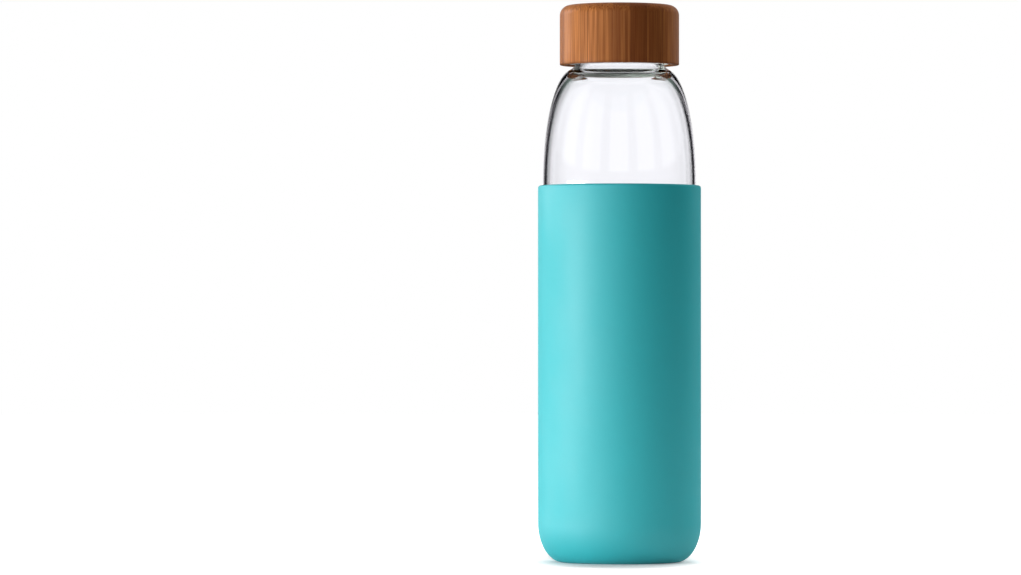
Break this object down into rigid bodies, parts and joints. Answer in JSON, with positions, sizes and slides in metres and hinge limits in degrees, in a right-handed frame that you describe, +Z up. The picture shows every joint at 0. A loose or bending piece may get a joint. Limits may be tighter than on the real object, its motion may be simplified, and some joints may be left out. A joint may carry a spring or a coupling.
{
  "type": "glass water bottle",
  "caption": "Clear glass water bottle with a sloping shoulder, a stretch-fit silicone sleeve over its lower part and a screw-on bamboo cap with a threaded liner and sealing ring.",
  "frame": {"origin": "on the bottle's axis, on the surface it stands on", "axes": "+Z up along the bottle's axis, towards the cap. The bottle is round: +X is the side where the neck's thread starts, and +Y is across it."},
  "size_m": [0.071, 0.071, 0.2426],
  "materials": {
    "clear_glass": "clear and colourless, fire-polished",
    "teal_silicone": "matte moulded silicone, soft to the touch",
    "white_silicone": "satin food-grade silicone",
    "liner_plastic": "satin polypropylene",
    "carbonised_bamboo": "sanded and oiled bamboo, caramel brown, fibres upright"
  },
  "bodies": {
    "sleeve": {"silicone_sleeve": "teal_silicone"},
    "glass": {"glass_bottle": "clear_glass"},
    "seal": {"cap_gasket": "white_silicone"},
    "cap": {"cap_insert": "liner_plastic", "bamboo_cap": "carbonised_bamboo"}
  },
  "joints": [
    {"name": "sleeve_pull_off", "type": "slide", "parent": "sleeve", "child": "glass", "axis": [0, 0, 1], "range_m": [0, 0.17]},
    {"name": "cap_lift", "type": "slide", "parent": "glass", "child": "seal", "axis": [0, 0, 1], "range_m": [0, 0.0255]},
    {"name": "cap_turn", "type": "hinge", "parent": "seal", "child": "cap", "pos_m": [0, 0, 0.2165], "axis": [0, 0, 1], "range_deg": [0, 2160]}
  ],
  "couplings": [
    {"joint": "cap_lift", "follows": "cap_turn", "m_per_rad": 0.00067376}
  ]
}
